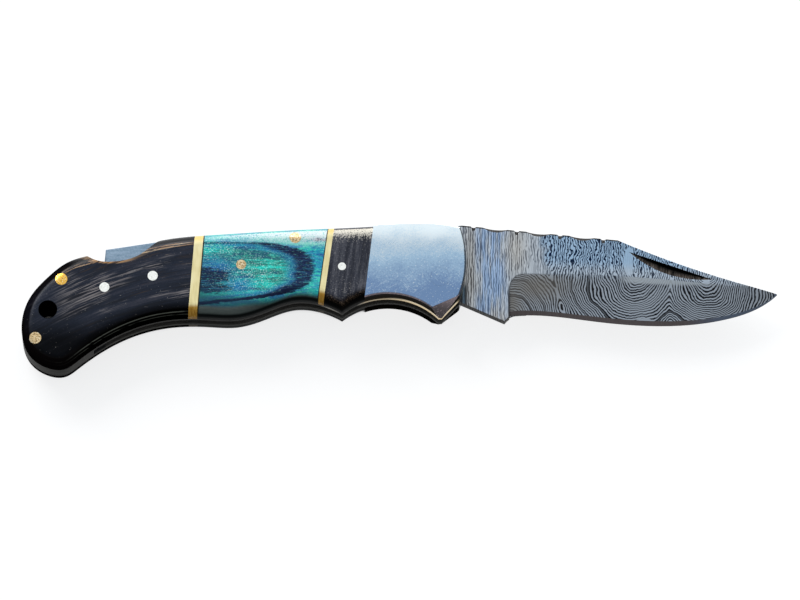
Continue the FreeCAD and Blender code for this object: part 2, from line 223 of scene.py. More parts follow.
class Material(Graph):
    """A material, with the place on the knife in millimetres and the surface's normal there."""

    def __init__(self, name):
        self.material = bpy.data.materials.new(name)
        super().__init__(self.material)
        self.shader = self.tree.nodes["Principled BSDF"]
        coords = self.node("TexCoord")
        self.normal = self.parts(coords.outputs["Normal"])
        self.place = self.vector("MULTIPLY", coords.outputs["Object"], (1 / MM, 1 / MM, 1 / MM))
        self.x, self.y, self.z = self.parts(self.place)

    def facing(self):
        """1 on the knife's flat sides, 0 on its edges."""
        return self.math("ABSOLUTE", self.normal[2])

    def noise(self, scales, detail=2.0, roughness=0.5, distortion=0.0, offset=0.0, place=None):
        """Noise from 0 to 1. Scales are features per millimetre along x, y and z."""
        node = self.node("TexNoise")
        stretched = self.vector("MULTIPLY", place or self.place, scales)
        if offset:
            stretched = self.vector("ADD", stretched, (offset, offset, offset))
        self.put(node.inputs["Vector"], stretched)
        node.inputs["Scale"].default_value = 1.0
        node.inputs["Detail"].default_value = detail
        node.inputs["Roughness"].default_value = roughness
        node.inputs["Distortion"].default_value = distortion
        return node.outputs["Fac"]

    def dome(self, x, y, width, height):
        """1 in the middle of a spot, fading to 0 over a few widths and heights."""
        across = self.math("DIVIDE", self.less(self.x, x), width)
        up = self.math("DIVIDE", self.less(self.y, y), height)
        squares = self.add(self.times(across, across), self.times(up, up))
        return self.math("EXPONENT", self.times(-0.5, squares))

    def domes(self, spots):
        return self.most(*[self.dome(*spot) for spot in spots])

    def bump(self, height, depth, strength, edge_radius=0.0):
        """A bump whose height of 1 is depth millimetres, over edges softened by edge_radius."""
        node = self.node("Bump")
        node.inputs["Strength"].default_value = strength
        node.inputs["Distance"].default_value = depth * MM
        self.put(node.inputs["Height"], height)
        if edge_radius:
            bevel = self.node("Bevel", samples=4)
            bevel.inputs["Radius"].default_value = edge_radius * MM
            self.put(node.inputs["Normal"], bevel.outputs[0])
        self.put(self.shader.inputs["Normal"], node.outputs[0])

    def finish(self, colour, roughness, metallic=0.0, **settings):
        self.put(self.shader.inputs["Base Color"], colour)
        self.put(self.shader.inputs["Roughness"], roughness)
        self.put(self.shader.inputs["Metallic"], metallic)
        for name, value in settings.items():
            self.put(self.shader.inputs[name.replace("_", " ").title().replace("Ior", "IOR")], value)
        return self.material


# Blade steel: the pitch of its layers, places that the layers hang round or circle, and spots of other steel
LAYER_PITCH = 0.57
UPRIGHT_PITCH = 0.56
UPPER_BOWLS = ((48.9, 2.0), (66.5, 1.4))
PLUNGE_SWIRL = (17.5, -8.3)
PLUNGE_SWIRL_START = 6.8
PLAIN_SPOTS = ((47.2, 5.6, 1.2, 3.2), (66.6, 0.4, 0.7, 0.8), (51.0, -9.4, 1.5, 0.45))
STAINED_SPOTS = ((24.0, -0.8, 6.0, 2.8), (17.6, -5.0, 2.5, 4.0))
TAN_SPOTS = ((7.6, 2.0, 1.4, 11.0), (19.0, 9.0, 2.0, 5.0), (13.0, -10.0, 4.0, 2.0))

# Blade steel: fades along x
HANDLE_ZONE = (28.5, 24.0)
BLUE_ZONE_START = (7.8, 10.0)
BLUE_ZONE_END = (18.0, 14.5)
HEAVY_LAYERS_END = (74.0, 66.0)
BEVEL_TOP_SOFTENS = (22.0, 34.0)
RICASSO_END = (19.0, 18.0)
HONED_BLUE_START = (60.0, 72.0)
PLUNGE_LINE_END = (21.0, 18.5)
FOOT_START = (7.2, 6.4)
FOOT_GLINT_PLACE = 5.9
PATCHES_PLACE = 21.5
NICK_START = (40.0, 44.0)
NICK_RIM_START = (44.0, 48.0)

# Blade steel: fades along y, from the grind line, and along z
SPINE_CORNER = (15.1, 15.35)
FILED_BOTTOM = (4.0, 6.0)
EDGE_TOP = (0.0, -1.0)
PLUNGE_LINE_TOP = (0.5, -3.0)
FOOT_TOP = (5.0, 2.0)
FOOT_SLOPE = 0.6
NICK_BOTTOM = (-1.0, 0.0)
NICK_TOP = (9.0, 8.0)
PALE_STRIP = (-4.5, -1.0)
NICK_FLOOR = (7.0, 7.6)
NICK_LIP = (7.9, 8.5)
NICK_RIM_LEVEL = (8.3, 8.4)

# Tones of the blade's dark and bright layers by zone, and colours of its edges and shaded places
BEVEL_STEEL = ((0.007, 0.008, 0.011), (0.50, 0.535, 0.58))
STAINED_STEEL = ((0.145, 0.133, 0.12), (0.32, 0.295, 0.265))
UPPER_STEEL = ((0.004, 0.014, 0.042), (0.42, 0.57, 0.72))
PALE_STEEL = ((0.06, 0.075, 0.10), (0.60, 0.64, 0.68))
GRAIN_STEEL = ((0.10, 0.12, 0.15), (0.63, 0.66, 0.69))
BLUE_STEEL = ((0.085, 0.135, 0.23), (0.44, 0.58, 0.78))
TAN_STEEL = ((0.14, 0.115, 0.09), (0.70, 0.63, 0.53))
FILED_SHADE_STEEL = ((0.008, 0.008, 0.009), (0.035, 0.032, 0.030))
NICK_SHADE_STEEL = ((0.002, 0.002, 0.002), (0.055, 0.046, 0.04))
NICK_RIM_HIGHLIGHT = (0.50, 0.53, 0.55)
HONED_BROWN = (0.125, 0.095, 0.092)
HONED_BLUE = (0.13, 0.18, 0.27)
HONED_GREY = (0.28, 0.27, 0.27)
PLUNGE_SHADE = (0.025, 0.025, 0.028)
FOOT_SHADE = (0.012, 0.013, 0.016)
FOOT_GLINT = (0.10, 0.16, 0.21)


class BladeZones:
    """Where a place lies on the blade, and the two noises that its patterns share."""

    def __init__(self, g):
        self.below = g.less(g.less(GRIND_RISE, g.times(GRIND_FALL, g.x)), g.y)
        corner_x = g.most(g.less(PLUNGE_REACH + PLUNGE_ROUNDING, g.x), 0.0)
        corner_y = g.most(g.less(PLUNGE_ROUNDING, self.below), 0.0)
        self.outside = g.less(g.length(corner_x, corner_y), PLUNGE_ROUNDING)
        self.flat = g.smooth(self.outside, -0.15, 0.25)
        self.above = g.smooth(self.below, 1.6, -1.6)
        self.cloud = g.noise((0.16, 0.16, 0.16), offset=7.3)
        self.grain = g.noise((4.6, 0.22, 0.5), roughness=0.6, distortion=0.2, offset=2.2)
        wavering = g.add(g.x, g.times(12.0, g.swing(self.cloud)))
        self.near_handle = g.times(self.flat, g.smooth(wavering, *HANDLE_ZONE))
        self.facing = g.facing()
        self.wall = g.smooth(self.facing, 0.6, 0.3)


def bowl(g, x, y):
    """Distance from an upright line that ends at a place: upright layers that close under it."""
    return g.length(g.less(g.x, x), g.math("MINIMUM", g.less(g.y, y), 0.0))


def swirl(g, x, y):
    """Distance from a place: layers that circle it."""
    return g.length(g.less(g.x, x), g.less(g.y, y))


def layer_depth(g, zones):
    """How deep a place lies in the stack of layers, which hang on the flats and swirl on the bevels."""
    ripple = g.swing(g.noise((1.0, 0.5, 0.4), offset=3.1))
    sway = g.swing(g.noise((0.12, 0.13, 0.1), detail=1.0, offset=1.3))
    upper = g.math("SMOOTH_MIN", *[bowl(g, *place) for place in UPPER_BOWLS], 1.0)
    circled = g.add(PLUNGE_SWIRL_START, swirl(g, *PLUNGE_SWIRL))
    lower = g.math("SMOOTH_MIN", upper, circled, 1.5)
    waves = g.add(g.times(g.blend(zones.above, 0.6, 1.8), ripple), g.times(4.0, sway))
    return g.add(g.blend(zones.flat, lower, upper), waves, g.times(0.5, g.z))


def layer_tones(g, zones):
    """1 on the bright layers and 0 on the dark ones: even lines, broken by heavier ones."""
    depth = layer_depth(g, zones)
    lines = g.math("SINE", g.times(2 * math.pi / LAYER_PITCH, depth))
    heavy = g.noise((2.6, 0.0, 0.0), detail=1.0, offset=4.4, place=g.joined(depth, 0.0, 0.0))
    heavy = g.times(g.smooth(heavy, 0.38, 0.30), g.smooth(g.x, *HEAVY_LAYERS_END))
    contrast = g.smooth(g.noise((0.10, 0.12, 0.1), detail=1.0, offset=6.1), 0.32, 0.54)
    bevel = g.blend(contrast, g.smooth(lines, -1.3, 0.8), g.smooth(lines, -0.55, 0.45))
    bevel = g.times(bevel, g.blend(heavy, 1.0, 0.15))
    return g.blend(zones.above, bevel, g.smooth(lines, -0.5, 0.25))


def upright_lines(g, zones):
    """1 on the bright layers at the handle, which stand upright in fine, broken lines."""
    drift = g.swing(g.noise((0.5, 0.12, 0.3), offset=2.7))
    shiver = g.swing(g.noise((1.2, 0.5, 0.5), detail=1.0, offset=8.8))
    place = g.add(g.x, g.times(1.2, drift), g.times(0.7, shiver))
    lines = g.math("SINE", g.times(2 * math.pi / UPRIGHT_PITCH, place))
    return g.smooth(g.add(g.times(0.4, lines), g.times(3.2, g.swing(zones.grain))), -0.55, 0.4)


def plain_steel(g, zones):
    """1 on spots and patches without layers."""
    patches = g.smooth(g.noise((0.42, 0.20, 0.3), roughness=0.55, offset=5.0), 0.52, 0.58)
    patches = g.times(patches, g.band(g.x, PATCHES_PLACE, 5.0), zones.near_handle)
    spots = g.smooth(g.add(g.domes(PLAIN_SPOTS), g.swing(zones.cloud)), 0.42, 0.55)
    return g.most(spots, patches)


def layer_colours(g, zones, light):
    """Grey bevels, stained at the plunge, under blue flats, and grey, blue and tan grain at the handle."""
    bevel = g.tones(light, BEVEL_STEEL)
    bevel = g.paint(bevel, g.tones(light, STAINED_STEEL), 0.95, g.domes(STAINED_SPOTS))
    upper = g.tones(light, UPPER_STEEL)
    upper = g.paint(upper, g.tones(light, PALE_STEEL), 0.75, g.smooth(zones.below, *PALE_STRIP))
    blue = g.smooth(g.noise((0.9, 0.12, 0.3), offset=9.4), 0.3, 0.6)
    blue = g.times(blue, g.smooth(g.x, *BLUE_ZONE_START), g.smooth(g.x, *BLUE_ZONE_END))
    grain = g.mix(blue, g.tones(light, GRAIN_STEEL), g.tones(light, BLUE_STEEL))
    grain = g.paint(grain, g.tones(light, TAN_STEEL), 0.6, g.domes(TAN_SPOTS))
    colour = g.mix(zones.near_handle, upper, grain)
    colour = g.mix(g.blend(g.smooth(g.x, *BEVEL_TOP_SOFTENS), zones.flat, zones.above), bevel, colour)
    return g.paint(colour, grain, g.smooth(zones.outside, 0.0, 0.1), g.smooth(g.x, *RICASSO_END))


def edge_colours(g, zones, colour):
    """The honed edge, the line where the grind starts, and the shaded foot beside the bolster."""
    limit = g.less(0.965, g.times(0.0055, g.most(g.less(g.x, POINT_START), 0.0)))
    edge = g.times(g.smooth(g.less(zones.facing, limit), 0.008, -0.008), g.smooth(g.y, *EDGE_TOP))
    honed = g.mix(g.smooth(g.x, *HONED_BLUE_START), HONED_BROWN, HONED_BLUE)
    colour = g.mix(edge, colour, g.paint(honed, HONED_GREY, 0.4, zones.grain))
    line = g.times(g.band(zones.outside, 0.1, 0.45), g.smooth(g.x, *PLUNGE_LINE_END),
                   g.smooth(g.y, *PLUNGE_LINE_TOP))
    colour = g.paint(colour, PLUNGE_SHADE, 0.85, line)
    foot = g.smooth(g.add(g.y, g.times(FOOT_SLOPE, g.x)), *FOOT_TOP)
    foot_colour = g.mix(g.band(g.x, FOOT_GLINT_PLACE, 0.5), FOOT_SHADE, FOOT_GLINT)
    return g.paint(colour, foot_colour, 0.9, g.times(g.smooth(g.x, *FOOT_START), foot))


def cut_colours(g, zones, light, colour):
    """Painted shade on the filed notches, the spine's upper corner and the walls, painted shade in the nail
    nick, and a painted highlight on its rim.
    """
    # Painted shade on the filed notches, the spine's upper corner and the blade's walls.
    filed = g.times(g.smooth(zones.facing, 0.9, 0.8), g.smooth(g.y, *FILED_BOTTOM))
    corner = g.smooth(g.add(g.y, g.times(SPINE_FALL, g.x)), *SPINE_CORNER)
    colour = g.mix(g.most(filed, corner, zones.wall), colour, g.tones(light, FILED_SHADE_STEEL))
    # Painted shade in the nail nick, paler towards its lip.
    nick = g.times(g.smooth(zones.facing, 0.999, 0.97), g.smooth(g.y, *NICK_BOTTOM), g.smooth(g.y, *NICK_TOP),
                   g.smooth(g.z, *NICK_FLOOR), g.smooth(g.x, *NICK_START))
    lip = g.times(g.smooth(g.z, *NICK_LIP), g.smooth(zones.grain, 0.35, 0.65))
    colour = g.mix(nick, colour, g.tones(lip, NICK_SHADE_STEEL))
    # Painted highlight on the rim of the nail nick.
    rim = g.times(g.smooth(zones.facing, 0.9999, 0.9985), g.smooth(zones.facing, 0.984, 0.994),
                  g.smooth(g.z, *NICK_RIM_LEVEL), g.smooth(g.y, *NICK_BOTTOM),
                  g.smooth(g.x, *NICK_RIM_START))
    return g.paint(colour, NICK_RIM_HIGHLIGHT, 0.8, rim)


def layered_steel():
    """Etched blade steel: upright grain at the handle, wavy layers, swirls on the bevels, painted shade in
    the cuts.
    """
    g = Material("layered_steel")
    zones = BladeZones(g)
    light = g.blend(zones.near_handle, layer_tones(g, zones), upright_lines(g, zones))
    light = g.most(light, g.times(0.88, plain_steel(g, zones)))
    colour = edge_colours(g, zones, layer_colours(g, zones, light))
    colour = cut_colours(g, zones, light, colour)
    under = g.times(zones.wall, g.smooth(g.normal[1], 0.0, -0.3))
    g.bump(light, depth=0.02, strength=0.4, edge_radius=0.1)
    return g.finish(colour, g.blend(light, 0.46, 0.34), metallic=g.blend(under, 1.0, 0.1),
                    specular_ior_level=g.blend(under, 0.5, 0.03))


# Bolster: blue steel with painted light that pales it towards its top, with marks of two slopes, and the
# finger groove under it in painted shade with a painted golden highlight
BOLSTER_TONE_AND_LIGHT_STOPS = ((0.1, (0.25, 0.37, 0.57)), (0.58, (0.55, 0.73, 0.87)), (0.95, (0.88, 0.95, 0.96)))
BOLSTER_LIGHT_RISE = (-8.0, 15.5)
BOLSTER_TOP = (13.4, 14.2)
DUSTY_RISE = (7.5, 13.5)
GROUND_RISE = (-8.5, -5.5)
SCRATCH_SLOPES = (0.7, -0.9)
SCRATCHED = (0.86, 0.92, 0.96)
BRIGHT_GLINT_SPECK = (0.98, 0.96, 0.90)
TOP_DUST_AND_HIGHLIGHT = (1.0, 0.95, 0.88)
BOLSTER_BACK = (0.42, 0.47, 0.52)
BOLSTER_FRONT_SHADE = (0.05, 0.055, 0.06)
GROOVE_SHADE_STOPS = ((0.0, (0.065, 0.056, 0.052)), (0.5, (0.032, 0.027, 0.023)), (0.9, (0.075, 0.058, 0.036)))
FAR_GROOVE_SHADE = (0.006, 0.005, 0.004)
GOLDEN_HIGHLIGHT = (0.80, 0.66, 0.42)
GOLDEN_HIGHLIGHT_START = (-15.0, -6.0)
GROUND_FACE_REFLECTION_STOPS = ((0.0, (0.085, 0.075, 0.078)), (0.5, (0.22, 0.18, 0.19)), (1.0, (0.52, 0.40, 0.42)))


def slanted(g, slope):
    """The places on the knife's side turned, so that marks along x come out with a slope."""
    return g.joined(g.add(g.x, g.times(slope, g.y)), g.less(g.y, g.times(slope, g.x)), g.z)


def bolster_face(g, cloud, scratches, specks):
    """The bolster's sides, scratched and specked with painted glints, with painted light that pales them
    towards the top, dust and a painted highlight along the top, a grey back and a front in painted shade.
    """
    # Painted reflection: the blue pales towards the top, mottled by the steel's own cloud and specks.
    level = g.add(g.smooth(g.y, *BOLSTER_LIGHT_RISE), g.times(0.6, g.swing(cloud)), g.times(0.7, g.swing(specks)))
    colour = g.ramp(level, *BOLSTER_TONE_AND_LIGHT_STOPS)
    for scratch, place in zip(scratches, (0.46, 0.54)):
        marked = g.times(g.smooth(scratch, 0.56, 0.70), g.smooth(cloud, place - 0.08, place + 0.08))
        colour = g.paint(colour, SCRATCHED, 0.45, marked)
    # Painted glints in the specks.
    colour = g.paint(colour, BRIGHT_GLINT_SPECK, 0.9, g.smooth(specks, 0.62, 0.69))
    # Dust and a painted highlight along the top edge.
    colour = g.paint(colour, TOP_DUST_AND_HIGHLIGHT, 0.6, g.smooth(g.y, *BOLSTER_TOP))
    colour = g.paint(colour, BOLSTER_BACK, g.smooth(g.normal[1], 0.6, 0.9))
    # Painted shade on the rounded front beside the ricasso.
    return g.paint(colour, BOLSTER_FRONT_SHADE, 0.9, g.smooth(g.normal[0], 0.1, 0.4))


def polished_steel():
    """Bolster steel, buffed, with fine scratches and specks, dusty on top, in painted shade in the finger
    groove, with a painted golden highlight there and a painted reflection on the guard's ground face.
    """
    g = Material("polished_steel")
    cloud = g.noise((0.12, 0.14, 0.1), detail=3.0, roughness=0.6)
    falling, rising = [slanted(g, slope) for slope in SCRATCH_SLOPES]
    scratches = [g.noise((0.25, 2.4, 0.4), 3.0, 0.7, distortion=0.5, place=falling),
                 g.noise((0.25, 1.8, 0.4), 3.0, 0.7, distortion=0.5, offset=3.0, place=rising)]
    specks = g.noise((2.2, 2.2, 2.2), detail=3.0, roughness=0.75, offset=2.0)
    colour = bolster_face(g, cloud, scratches, specks)
    belly = g.smooth(g.normal[1], -0.15, -0.5)
    ground = g.times(belly, g.smooth(g.facing(), 0.25, 0.4))
    wall = g.less(belly, ground)
    inward = g.less(MIDDLE_LEVEL, g.math("ABSOLUTE", g.less(g.z, MIDDLE_LEVEL)))
    # Painted shade on the groove's wall, warm-tinted, and deeper on the far side.
    groove_shade = g.ramp(g.add(g.times(0.2, inward), g.times(0.5, g.swing(specks))), *GROOVE_SHADE_STOPS)
    groove_shade = g.paint(groove_shade, FAR_GROOVE_SHADE, g.smooth(g.z, MIDDLE_LEVEL + 1.0, MIDDLE_LEVEL - 1.0))
    colour = g.mix(wall, colour, groove_shade)
    # Painted golden highlight along the groove's wall, next to the liner.
    golden_highlight = g.times(wall, g.smooth(inward, 3.5, 4.1), g.smooth(g.x, *GOLDEN_HIGHLIGHT_START),
                   g.smooth(g.z, MIDDLE_LEVEL, MIDDLE_LEVEL + 1.0))
    colour = g.mix(golden_highlight, colour, GOLDEN_HIGHLIGHT)
    # Painted reflection on the guard's ground face: brown, with a pinkish highlight towards its top and
    # glints in the specks.
    rubbed = g.add(g.smooth(specks, 0.55, 0.68), g.times(0.6, g.smooth(g.y, *GROUND_RISE)))
    colour = g.mix(ground, colour, g.ramp(rubbed, *GROUND_FACE_REFLECTION_STOPS))
    dusty = g.smooth(g.add(g.y, g.times(3.0, g.swing(cloud))), *DUSTY_RISE)
    roughness = g.add(g.blend(scratches[0], 0.2, 0.3), g.times(0.22, dusty))
    g.bump(g.add(g.times(0.3, scratches[0]), cloud), depth=0.03, strength=0.3)
    dull = g.less(g.add(wall, g.times(0.6, ground)), golden_highlight)
    return g.finish(colour, roughness, metallic=g.rest(dull), specular_ior_level=g.blend(belly, 0.5, 0.0))


# Brushed steel of the spring, lock bar and liners: their tones, and the colours of their shaded places and
# painted highlights
SPRING_STEEL = ((0.20, 0.30, 0.40), (0.46, 0.59, 0.72))
SPRING_GROOVE_SHADE = (0.03, 0.03, 0.03)
LINER_STEEL = ((0.10, 0.095, 0.085), (0.26, 0.25, 0.23))
LINER_GROOVE_HIGHLIGHT = (0.80, 0.62, 0.34)
NOTCH_SHADE = (0.03, 0.04, 0.05)
NOTCH_SHADE_START = (-83.2, -84.0)
UNDER_SHADE_STEEL = ((0.004, 0.004, 0.003), (0.024, 0.022, 0.017))
PALE_EDGE_HIGHLIGHT = (0.55, 0.51, 0.44)
PALE_EDGE_PLACE = -27.3
GROOVE_START = (-21.0, -18.5)
GROOVE_BRIGHTENS = (-17.0, -5.0)
HOLE_SHADE_STEEL = (0.001, 0.001, 0.001)


def in_lanyard_hole(g):
    """1 on the wall of the lanyard hole, 0 elsewhere."""
    reach = g.length(g.add(g.x, LANYARD_REACH), g.add(g.y, LANYARD_DROP))
    return g.smooth(reach, LANYARD_RADIUS + 0.2, LANYARD_RADIUS + 0.05)


def brushed_steel(name, pair, scales, groove_colour):
    """Plain steel with brush marks along one direction, in painted shade under the handle and in the lanyard
    hole, with a painted highlight on the near edge by the front spacer and the groove colour painted in the
    finger groove.
    """
    g = Material(name)
    marks = g.noise(scales, detail=4.0, roughness=0.65)
    cloud = g.noise((0.2, 0.2, 0.2), offset=4.0)
    specks = g.noise((2.4, 2.4, 2.4), roughness=0.7, offset=7.0)
    tone = g.add(g.times(0.45, marks), g.times(0.25, cloud), g.times(0.3, specks))
    colour = g.tones(tone, pair, 0.36, 0.62)
    colour = g.paint(colour, NOTCH_SHADE, 0.6, g.smooth(g.x, *NOTCH_SHADE_START))
    belly = g.smooth(g.normal[1], 0.1, -0.3)
    near_side = g.smooth(g.z, MIDDLE_LEVEL - 0.5, MIDDLE_LEVEL + 0.5)
    in_groove = g.times(near_side, g.smooth(g.x, *GROOVE_START))
    # Painted shade under the handle.
    under = g.tones(marks, UNDER_SHADE_STEEL, 0.4, 0.65)
    # Painted highlight on the near liner's edge by the front spacer.
    under = g.paint(under, PALE_EDGE_HIGHLIGHT, near_side, g.band(g.x, PALE_EDGE_PLACE, 3.0))
    # Painted colour in the finger groove: a golden highlight on the liners, shade on the spring steel.
    under = g.paint(under, groove_colour, in_groove, g.blend(g.smooth(g.x, *GROOVE_BRIGHTENS), 0.45, 1.0))
    # Painted shade on the wall of the lanyard hole.
    hole = in_lanyard_hole(g)
    colour = g.mix(hole, g.mix(belly, colour, under), HOLE_SHADE_STEEL)
    bright = g.rest(g.most(hole, g.times(0.97, belly, g.rest(in_groove))))
    g.bump(marks, depth=0.01, strength=0.4, edge_radius=0.12)
    return g.finish(colour, g.blend(marks, 0.45, 0.3), metallic=bright,
                    specular_ior_level=g.times(0.5, bright))


# Pins: their tones, the upper butt pin's own colour and spot, and the colours of pits and painted glints
BRASS = ((0.42, 0.25, 0.10), (1.0, 0.76, 0.42))
NICKEL = ((0.78, 0.77, 0.70), (0.98, 0.97, 0.92))
BUTT_BRASS = (1.0, 0.56, 0.09)
BUTT_NICKEL = (0.95, 0.95, 0.9)
UPPER_BUTT_SPOT = (-94.5, -0.6, 2.0, 2.0)
PIN_PIT = (0.10, 0.06, 0.03)
PIN_GLINT_SPECK = (0.98, 0.92, 0.76)


def pin_metal(name, pair, roughness, pits_and_glints, butt_colour):
    """A pin ground flush, with grinding marks, pits and painted glints in its specks. The upper butt pin has
    its own colour.
    """
    g = Material(name)
    marks = g.noise((0.9, 5.0, 0.9), detail=3.0, roughness=0.7, distortion=0.3)
    specks = g.noise((2.3, 2.3, 1.0), roughness=0.7, offset=6.0)
    colour = g.tones(g.add(g.times(0.4, marks), g.times(0.6, specks)), pair, 0.38, 0.6)
    colour = g.paint(colour, butt_colour, g.smooth(g.dome(*UPPER_BUTT_SPOT), 0.3, 0.5))
    colour = g.paint(colour, PIN_PIT, pits_and_glints, g.smooth(specks, 0.42, 0.34))
    # Painted glints.
    colour = g.paint(colour, PIN_GLINT_SPECK, pits_and_glints, g.smooth(specks, 0.58, 0.66))
    g.bump(marks, depth=0.01, strength=0.4)
    return g.finish(colour, g.add(roughness, g.times(0.15, marks)), metallic=1.0)


# Rear scale: where the handle starts to bend and how much, the worn places, which carry a painted warm
# reflection too, and the colours of its layers
BEND_START = -50.0
BEND_CURVE = 0.0058
RUBBED_SPOT = (-86.0, -2.0, 7.0, 3.0)
STREAKS_START = (-98.0, -89.0)
WORN_AND_REFLECTED_START = (-99.0, -93.0)
WORN_AND_REFLECTED_RISE = (-3.0, 0.5)
WORN_AND_REFLECTED_NOTCH_RIM = (-0.75, -0.3)
WORN_AND_REFLECTED_NOTCH_HALF = 11.0
LOW_LEVEL = (-2.0, -8.0)
LOW_BUTT = (-9.0, -17.0)
WALL_SHEEN_START = (-101.0, -85.0)
BUTT_SHOULDER_START = (-88.0, -93.0)
CHARCOAL_STOPS = ((0.38, (0.001, 0.002, 0.007)), (0.5, (0.004, 0.008, 0.020)), (0.64, (0.032, 0.033, 0.048)))
GREY_STREAK = (0.24, 0.215, 0.21)
BROWN_STREAK = (0.06, 0.036, 0.022)
LOW_SHADE = (0.001, 0.001, 0.001)
WOOD_DUST = (0.5, 0.46, 0.4)
TOP_SHADE = (0.002, 0.002, 0.003)
WORN_AND_REFLECTED_LAYERS = ((0.24, 0.10, 0.03), (0.50, 0.38, 0.25))
WORN_AND_REFLECTED_NOTCH = (0.46, 0.24, 0.09)
WALL_SHADE_AND_SHEEN_TONES = ((0.0005, 0.0005, 0.0004), (0.14, 0.145, 0.12))
SHOULDER_SHADE = (0.004, 0.003, 0.003)
HOLE_SHADE_WOOD = (0.0005, 0.0005, 0.0005)


def worn_and_reflected_edge(g, fine, broad, colour):
    """Painted shade on the rear scale's upper rounding, and brown layers where its upper edge and the rim of
    the notch are worn, partly a painted warm reflection.
    """
    turned = g.add(g.normal[1], g.times(0.22, g.swing(fine)))
    colour = g.paint(colour, TOP_SHADE, 0.9, g.smooth(turned, 0.2, 0.5))
    layers = g.most(g.band(turned, 0.08, 0.05), g.band(turned, 0.24, 0.06))
    from_notch = g.add(g.x, NOTCH_REACH)
    past_notch = g.less(g.y, g.add(NOTCH_RISE, g.times(NOTCH_CURVE, from_notch, from_notch)))
    at_notch = g.times(g.smooth(past_notch, *WORN_AND_REFLECTED_NOTCH_RIM), g.band(g.x, -NOTCH_REACH, WORN_AND_REFLECTED_NOTCH_HALF))
    # Worn layers, partly a painted warm reflection.
    worn = g.times(g.most(layers, at_notch), g.smooth(g.x, *WORN_AND_REFLECTED_START), g.smooth(g.y, *WORN_AND_REFLECTED_RISE))
    worn = g.times(worn, g.smooth(g.add(fine, g.times(0.5, g.swing(broad))), 0.36, 0.5))
    return g.mix(worn, colour, g.mix(at_notch, g.tones(fine, WORN_AND_REFLECTED_LAYERS, 0.38, 0.62), WORN_AND_REFLECTED_NOTCH))


def dark_rear_wood():
    """Charcoal laminate whose lines follow the handle's bend, worn to brown layers along the upper edge that
    are partly a painted warm reflection, with painted shade low down, on its walls and in the lanyard hole.
    """
    g = Material("dark_rear_wood")
    back = g.most(g.less(BEND_START, g.x), 0.0)
    level = g.add(g.y, g.times(BEND_CURVE, back, back))
    bent = g.joined(g.x, level, g.z)
    broad = g.noise((0.04, 0.5, 0.30), detail=3.0, roughness=0.6, place=bent)
    fine = g.noise((0.12, 2.4, 1.2), detail=3.0, roughness=0.65, distortion=0.25, offset=3.0, place=bent)
    patch = g.noise((0.07, 0.22, 0.1), offset=9.0, place=bent)
    specks = g.noise((2.2, 2.6, 2.2), roughness=0.7, offset=12.0)
    colour = g.ramp(g.add(g.times(0.5, broad), g.times(0.35, fine), g.times(0.15, specks)), *CHARCOAL_STOPS)
    rubbed = g.add(patch, g.times(0.14, g.dome(*RUBBED_SPOT)), g.times(0.008, level))
    streak = g.times(g.smooth(fine, 0.47, 0.62), g.smooth(rubbed, 0.53, 0.68), g.smooth(g.x, *STREAKS_START))
    colour = g.paint(colour, GREY_STREAK, 0.8, streak)
    brown = g.times(g.smooth(fine, 0.44, 0.34), g.smooth(patch, 0.5, 0.4))
    colour = g.paint(colour, BROWN_STREAK, 0.4, brown)
    low = g.most(g.smooth(level, *LOW_LEVEL), g.smooth(g.y, *LOW_BUTT))
    colour = g.paint(colour, LOW_SHADE, 0.9, low)
    colour = g.paint(colour, WOOD_DUST, 0.5, g.smooth(specks, 0.70, 0.76))
    colour = worn_and_reflected_edge(g, fine, broad, colour)
    facing = g.facing()
    outer_wall = g.times(g.smooth(facing, 0.8, 0.5), g.smooth(g.normal[1], 0.3, 0.0))
    wall = g.most(g.smooth(g.normal[1], -0.1, -0.55), outer_wall)
    lines = g.most(g.band(facing, 0.72, 0.05), g.times(0.6, g.band(facing, 0.5, 0.05)))
    sheen = g.times(lines, g.smooth(g.x, *WALL_SHEEN_START), g.smooth(fine, 0.36, 0.5))
    # Painted shade on the walls, with painted sheen lines.
    colour = g.mix(wall, colour, g.mix(sheen, *WALL_SHADE_AND_SHEEN_TONES))
    shoulder = g.times(g.smooth(facing, 0.985, 0.9), g.smooth(g.x, *BUTT_SHOULDER_START))
    colour = g.paint(colour, SHOULDER_SHADE, 0.8, shoulder)
    # Painted shade on the wall of the lanyard hole.
    hole = in_lanyard_hole(g)
    colour = g.mix(hole, colour, HOLE_SHADE_WOOD)
    dull = g.most(hole, wall, g.times(0.8, low), shoulder)
    g.bump(fine, depth=0.03, strength=0.4)
    return g.finish(colour, g.blend(fine, 0.45, 0.32), specular_ior_level=g.blend(dull, 0.2, 0.0),
                    coat_weight=g.blend(dull, 0.12, 0.0), coat_roughness=0.12)


# Front scale: the lean of its lines, the rise of its dusty top, a dusty spot low down, and its colours
GRAIN_LEAN = 0.12
DUSTY_TOP = (7.5, 13.2)
DUSTY_SPOT = (-24.5, -3.4, 2.5, 3.0)
GREY_WOOD_STOPS = ((0.38, (0.006, 0.007, 0.014)), (0.5, (0.026, 0.028, 0.040)), (0.64, (0.085, 0.085, 0.10)))
GREY_LINE = (0.13, 0.125, 0.13)
DUST_TONES = ((0.32, 0.30, 0.28), (0.80, 0.74, 0.62))
BELLY_SHADE_AND_BROWN_TONES = ((0.002, 0.002, 0.002), (0.13, 0.085, 0.055))


